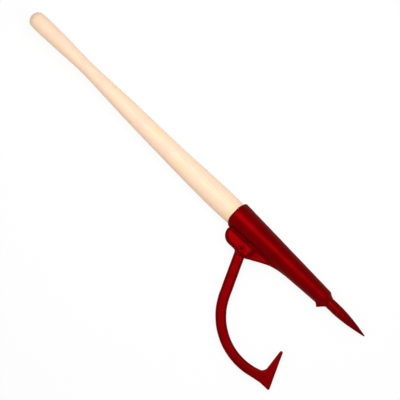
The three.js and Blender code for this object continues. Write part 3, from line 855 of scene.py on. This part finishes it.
def hook_mesh(settings):
    """The forging's surface."""
    sizes = settings.hook
    eye, thick = sizes.eye_diameter / 2, sizes.eye_thickness / 2
    axes = (
        steps_across(-eye, sizes.belly_reach + sizes.heel_flare, sizes.cell),
        steps_across(-eye, sizes.bill_offset - sizes.width / 2, sizes.cell),
        steps_across(-thick, thick, sizes.cell),
    )
    return skinned(hook_form(settings), axes, sizes.cell)


def pick_mesh(settings):
    """Square tang, shoulder, round shaft and point."""
    sizes, fit = settings.pick, settings.pivot.fit
    height, wave = PICK_WAVES
    theta = circle(sizes.sides)
    start = settings.handle.depth + fit
    end = start + sizes.length
    radius, tip = sizes.diameter / 2, sizes.point_diameter / 2
    point_start = end - sizes.point_length
    bulge = (end - BULGE_SHARES[0] * sizes.point_length, BULGE_SHARES[1] * radius)
    ends = np.array([(point_start, radius), bulge, (end - tip, tip)])
    point = curve(np.linspace(0, 1, 40)[:, None], *ends)
    shaft = np.linspace(start + 2 * fit, point_start, 40)[:-1]
    shaft = np.stack([shaft, np.full_like(shaft, radius)], 1)
    shoulder = (start, radius - 2 * fit)
    profile = np.vstack([[shoulder], shaft, point, [(end - tip / 4, tip / 2)]])
    bevel = TANG_SHARES[1] * sizes.tang_end_width
    widths = np.array([bevel, sizes.tang_end_width, sizes.tang_width])
    tang_x = [start - sizes.tang_length, start - sizes.tang_length * TANG_SHARES[0], start]
    x = np.concatenate([tang_x, profile[:, 0]])[:, None]
    flat = smooth_step(profile[:, :1], end - sizes.flats_start, end - sizes.flats_end)
    round_part = profile[:, 1:] * (1 + sizes.flats_depth * np.cos(4 * theta + 0.4) * flat)
    radius = np.vstack([widths[:, None] / 2 * square_reach(theta), round_part])
    y, z = radius * np.cos(theta), radius * np.sin(theta)
    radius = radius + height * unevenness(x, y, z, wave) * (x > start)
    return ring_mesh(x, radius * np.cos(theta), radius * np.sin(theta))


def stack_heights(settings):
    """Places along the bolt: the head in the near ear, washer and nut in the far one."""
    socket, fasteners, fit = settings.socket, settings.fasteners, settings.pivot.fit
    ear = socket.ears_width / 2
    head = ear - socket.head_floor + fit
    washer = -ear + socket.nut_floor - fit
    nut = washer - fasteners.washer_height - fit
    end = nut - fasteners.nut_height - fasteners.projection
    return head, washer, nut, end


def on_bolt(pivot, radius, theta, z, closed=False):
    """Rings round the hook bolt's axis."""
    x = pivot.along + radius * np.cos(theta)
    y = -pivot.across + radius * np.sin(theta)
    return ring_mesh(x, y, z, closed)


def bolt_mesh(settings):
    """The hook bolt: a round sunk head with a key hole, a plain shank and a threaded end."""
    pivot, fasteners = settings.pivot, settings.fasteners
    edge, fillet = fasteners.head_height / 10, 0.08 * fasteners.head_height
    bevel = 5 / 3 * fasteners.thread_depth
    head, washer, _, end = stack_heights(settings)
    theta = circle(fasteners.sides)
    radius = pivot.bolt_diameter / 2
    crown = fasteners.head_diameter / 2
    top = head + fasteners.head_height
    bottom = top - fasteners.key_depth
    thread = np.arange(end, washer, fasteners.thread_pitch / 12)[:, None]
    chamfer = np.clip((thread - end) / bevel, 0, 1) * bevel - bevel
    turns = (thread / fasteners.thread_pitch - theta / (2 * math.pi)) % 1
    threaded = radius - fasteners.thread_depth * abs(2 * turns - 1) + chamfer
    profile = [
        (washer + bevel, radius), (head - fillet, radius), (head, radius + fillet),
        (head, crown - fillet), (head + fillet, crown),
    ]
    profile += [
        (top - edge + edge * math.sin(a), crown - edge + edge * math.cos(a))
        for a in np.linspace(0, math.pi / 2, 6)
    ]
    # Heights in the key hole, each with its share of the hole's width
    key_shares = [
        (top, 1.12), (top - edge / 3, 1.02), (top - edge, 1), (bottom + edge / 2, 1),
        (bottom, 0.96), (bottom - edge, 0.05),
    ]
    profile, key_shares = np.array(profile), np.array(key_shares)
    round_part = profile[:, 1:] * np.ones_like(theta)
    key = key_shares[:, 1:] * six_sided(theta, fasteners.key_width / 2)
    heights = np.vstack([thread, profile[:, :1], key_shares[:, :1]])
    return on_bolt(pivot, np.vstack([threaded, round_part, key]), theta, heights)


def nut_mesh(settings):
    """A six-sided nut, its corners taken down by a cone on both faces."""
    pivot, fasteners = settings.pivot, settings.fasteners
    _, _, top, _ = stack_heights(settings)
    theta = circle(2 * fasteners.sides)
    flat = fasteners.nut_width / 2
    corner = flat / math.cos(math.pi / 6)
    hole = pivot.bolt_diameter / 2 + pivot.fit
    bottom = top - fasteners.nut_height
    bevel = fasteners.nut_height / 10
    wide = hole + bevel
    # Shares of the nut's height, each with the cone's radius there
    cone = [(0, flat * 0.96), (0.0375, flat * 1.02), (0.15, corner * 0.99), (0.225, corner)]
    cone += [(1 - share, limit) for share, limit in reversed(cone)]
    rings = [
        (bottom + share * fasteners.nut_height, np.minimum(six_sided(theta, flat), limit))
        for share, limit in cone
    ]
    inner = ((top, wide), (top - bevel, hole), (bottom + bevel, hole), (bottom, wide))
    rings += [(level, np.full_like(theta, radius)) for level, radius in inner]
    levels, rings = zip(*rings)
    return on_bolt(pivot, np.array(rings), theta, np.array(levels)[:, None], closed=True)


def washer_mesh(settings):
    """A split lock washer: one turn of square wire with a gap."""
    pivot, fasteners = settings.pivot, settings.fasteners
    _, top, _, _ = stack_heights(settings)
    inner = pivot.bolt_diameter / 2 + pivot.fit
    outer = fasteners.washer_diameter / 2
    split = fasteners.washer_split / fasteners.washer_diameter
    wire = circle(16)
    power = 6
    square = 1 / (abs(np.cos(wire)) ** power + abs(np.sin(wire)) ** power) ** (1 / power)
    angle = np.linspace(split, 2 * math.pi - split, fasteners.sides)[:, None]
    radius = (outer + inner) / 2 + (outer - inner) / 2 * square * np.cos(wire)
    z = top - fasteners.washer_height / 2 * (1 - square * np.sin(wire))
    points, faces = on_bolt(pivot, radius, angle, z)
    return points, [face[::-1] for face in faces]


def pin_mesh(settings):
    """The pin in the socket's back, with a slightly domed end."""
    socket, fasteners = settings.socket, settings.fasteners
    dome_height = 3 * settings.pivot.fit
    theta = circle(fasteners.sides // 2)
    radius = socket.pin_diameter / 2
    bevel = radius * 0.4
    outer = socket.mouth_diameter / 2 - cone_slope(socket) * socket.pin_along - fasteners.pin_sunk
    inner = outer - fasteners.pin_length
    profile = [(inner, radius - bevel), (inner + bevel, radius)]
    profile += [
        (outer - dome_height + dome_height * math.sin(a), radius * math.cos(a * 0.9))
        for a in np.linspace(0, math.pi / 2, 8)[:-1]
    ]
    profile = np.array(profile)
    radii = profile[:, 1:]
    return ring_mesh(
        socket.pin_along + radii * np.sin(theta), profile[:, :1], radii * np.cos(theta),
    )


# Pieces


# For each slot, the name of its material and what makes it
FINISH_OF_SLOT = {
    "handle_wood": ("turned_wood", wood_finish),
    "red_enamel": ("glossy_enamel", enamel_finish),
    "dark_steel": ("fastener_steel", steel_finish),
}


def new_piece(context, name, shape, body, slot, node):
    """A smooth mesh object that rides on a body and stands for a node of the frame.

    The mesh is laid down in the row's frame, and keeps the places in its own frame for the finish.
    """
    settings = context.scene.cant_hook
    matrix = hook_matrix(settings.pivot) if body == "hook" else tool_matrix(settings.pivot)
    own, faces = shape(settings)
    placed = own @ np.array(matrix.to_3x3()).T + np.array(matrix.translation)
    mesh = bpy.data.meshes.new(name)
    mesh.from_pydata(placed.tolist(), [], [list(face) for face in faces])
    if mesh.validate():
        raise RuntimeError(f"the mesh of {name} had faults")
    kept = mesh.attributes.new(OWN_PLACE, "FLOAT_VECTOR", "POINT")
    kept.data.foreach_set("vector", own.ravel())
    mesh.shade_smooth()
    material, make = FINISH_OF_SLOT[slot]
    mesh.materials.append(bpy.data.materials.get(material) or make(material, settings.finishes))
    piece = bpy.data.objects.new(name, mesh)
    context.scene.collection.objects.link(piece)
    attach(piece, body)
    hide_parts(node)


# Operators


class MakeHandle(bpy.types.Operator):
    """Make the turned wooden handle"""

    bl_idname = "cant_hook.handle"
    bl_label = "Handle"

    def execute(self, context):
        new_piece(context, "turned_handle", handle_mesh, "tool", "handle_wood", "handle")
        return {"FINISHED"}


class MakeSocket(bpy.types.Operator):
    """Make the cast socket with its ears, web and toe lip"""

    bl_idname = "cant_hook.socket"
    bl_label = "Socket"

    def execute(self, context):
        new_piece(context, "cast_socket", socket_mesh, "tool", "red_enamel", "socket")
        return {"FINISHED"}


class MakePick(bpy.types.Operator):
    """Make the forged pick with its tang"""

    bl_idname = "cant_hook.pick"
    bl_label = "Pick"

    def execute(self, context):
        new_piece(context, "forged_pick", pick_mesh, "tool", "red_enamel", "pick")
        return {"FINISHED"}


class MakeHook(bpy.types.Operator):
    """Make the forged hook that swings on the bolt"""

    bl_idname = "cant_hook.hook"
    bl_label = "Hook"

    def execute(self, context):
        new_piece(context, "forged_hook", hook_mesh, "hook", "red_enamel", "hook")
        return {"FINISHED"}


class MakeFasteners(bpy.types.Operator):
    """Make the hook bolt with its nut and lock washer, and the pin in the socket"""

    bl_idname = "cant_hook.fasteners"
    bl_label = "Bolt, nut, washer and pin"

    def execute(self, context):
        new_piece(context, "pivot_bolt", bolt_mesh, "tool", "red_enamel", "hook_bolt")
        new_piece(context, "pivot_nut", nut_mesh, "tool", "dark_steel", "hook_nut")
        new_piece(context, "split_washer", washer_mesh, "tool", "dark_steel", "lock_washer")
        new_piece(context, "handle_pin", pin_mesh, "tool", "dark_steel", "socket_pin")
        return {"FINISHED"}


class MakeStage(bpy.types.Operator):
    """Make the floor, the lights and the camera"""

    bl_idname = "cant_hook.stage"
    bl_label = "Stage"

    def execute(self, context):
        settings = context.scene.cant_hook
        studio = settings.studio
        scene = context.scene
        scene.view_settings.view_transform = "Standard"
        self.floor(settings)
        self.world(scene, studio)
        place = tool_matrix(settings.pivot)
        self.camera(scene, studio, place)
        for name, power in (("key_light", studio.key_power), ("fill_light", studio.fill_power)):
            self.lamp(name, place, *LAMPS[name], power)
        return {"FINISHED"}

    def floor(self, settings):
        """A plain pale floor that is near white to the camera and still takes a shadow."""
        half = settings.studio.floor_size / 2
        corners = [(-half, -half, 0), (half, -half, 0), (half, half, 0), (-half, half, 0)]
        mesh = bpy.data.meshes.new("floor")
        mesh.from_pydata(corners, [], [(0, 1, 2, 3)])
        floor = bpy.data.objects.new("floor", mesh)
        bpy.context.scene.collection.objects.link(floor)
        finish = Finish(bpy.data.materials.new("floor"))
        glow = self.seen(finish) * 0.9
        colours = {"Color": tuple(settings.finishes.floor)}
        pale = finish.node("ShaderNodeBsdfDiffuse", None, colours)
        white = finish.node("ShaderNodeEmission", None, {"Color": WHITE, "Strength": 1})
        finish.ending("ShaderNodeOutputMaterial", glow, pale, white)
        mesh.materials.append(finish.owner)

    def seen(self, finish):
        """One for what the camera sees, straight or in a reflection."""
        camera = finish.node("ShaderNodeLightPath", output="Is Camera Ray")
        glossy, passed = camera.other("Is Glossy Ray"), camera.other("Is Transmission Ray")
        return (camera + glossy + passed).clamped()

    def world(self, scene, studio):
        """White to the camera, and dimmer as a light."""
        scene.world = bpy.data.worlds.new("studio")
        finish = Finish(scene.world)
        room, white = (
            finish.node("ShaderNodeBackground", None, {"Color": WHITE, "Strength": level})
            for level in (studio.sky_level, 1)
        )
        finish.ending("ShaderNodeOutputWorld", self.seen(finish), room, white)

    def camera(self, scene, studio, place):
        """Square on to the tool, turned so that it slopes across the picture."""
        data = bpy.data.cameras.new("camera")
        data.lens = studio.lens
        distance = studio.picture_width * data.lens / data.sensor_width
        basis = place.to_3x3() @ Matrix.Rotation(studio.picture_turn, 3, "Z")
        aim = place @ Vector((studio.aim_along, studio.aim_across, 0))
        matrix = basis.to_4x4()
        matrix.translation = aim + basis @ Vector((0, 0, distance))
        camera = bpy.data.objects.new("camera", data)
        camera.matrix_world = matrix
        scene.collection.objects.link(camera)
        scene.camera = camera

    def lamp(self, name, place, spot, aim, size, power):
        """A soft rectangular light, its long side along the tool."""
        data = bpy.data.lights.new(name, "AREA")
        data.shape = "RECTANGLE"
        data.size, data.size_y = size
        data.energy = power
        spot, aim = Vector(spot), Vector(aim)
        z = (spot - aim).normalized()
        x = (Vector((1, 0, 0)) - z * z.x).normalized()
        matrix = Matrix((x, z.cross(x), z)).transposed().to_4x4()
        matrix.translation = spot
        light = bpy.data.objects.new(name, data)
        light.matrix_world = place @ matrix
        light.visible_camera = False
        bpy.context.scene.collection.objects.link(light)


class CantHookPanel(bpy.types.Panel):
    """The cant hook's pieces"""

    bl_idname = "VIEW3D_PT_cant_hook"
    bl_label = "Cant Hook"
    bl_space_type = "VIEW_3D"
    bl_region_type = "UI"
    bl_category = "Cant Hook"

    def draw(self, context):
        settings = context.scene.cant_hook
        for operator in OPERATORS:
            self.layout.operator(operator.bl_idname)
        for group in CantHookSettings.__annotations__:
            box = self.layout.box()
            box.label(text=group.title())
            owner = getattr(settings, group)
            for name in owner.__annotations__:
                box.prop(owner, name)


OPERATORS = (MakeStage, MakeHandle, MakeSocket, MakePick, MakeHook, MakeFasteners)
CLASSES = (
    PivotSizes, HandleSizes, SocketSizes, HookSizes, PickSizes, FastenerSizes,
    Finishes, StudioSettings, CantHookSettings, *OPERATORS, CantHookPanel,
)


def register():
    for cls in CLASSES:
        bpy.utils.register_class(cls)
    bpy.types.Scene.cant_hook = bpy.props.PointerProperty(type=CantHookSettings)


def unregister():
    del bpy.types.Scene.cant_hook
    for cls in reversed(CLASSES):
        bpy.utils.unregister_class(cls)


def main():
    register()
    bpy.ops.cant_hook.stage()
    bpy.ops.cant_hook.handle()
    bpy.ops.cant_hook.socket()
    bpy.ops.cant_hook.pick()
    bpy.ops.cant_hook.hook()
    bpy.ops.cant_hook.fasteners()


if __name__ == "__main__":
    main()
